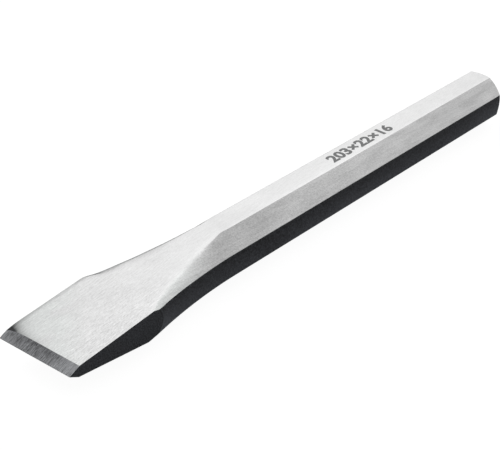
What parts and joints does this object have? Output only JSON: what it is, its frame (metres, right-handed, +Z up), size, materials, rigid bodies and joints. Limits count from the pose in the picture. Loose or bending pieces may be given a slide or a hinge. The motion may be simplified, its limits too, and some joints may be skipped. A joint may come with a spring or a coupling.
{
  "type": "cold chisel",
  "caption": "Flat cold chisel forged in one piece from octagonal bar, with a flared wedge blade and a chamfered struck head, for cutting and trimming metal.",
  "frame": {"origin": "centre of the bounding box in X and Y, on the plane the tool rests on (the bottom flat of the octagonal shank)", "axes": "+X along the tool from the cutting edge to the struck head; +Y across the blade, parallel to the cutting edge; +Z up, square to the wide faces of the blade"},
  "size_m": [0.2032, 0.0222, 0.0159],
  "materials": {
    "tool_steel": "satin-ground forged tool steel; near-black lacquer on the two forged sides and the blade edges, finely ground bright faces elsewhere"
  },
  "bodies": {
    "root": {"chisel": "tool_steel"}
  },
  "joints": []
}
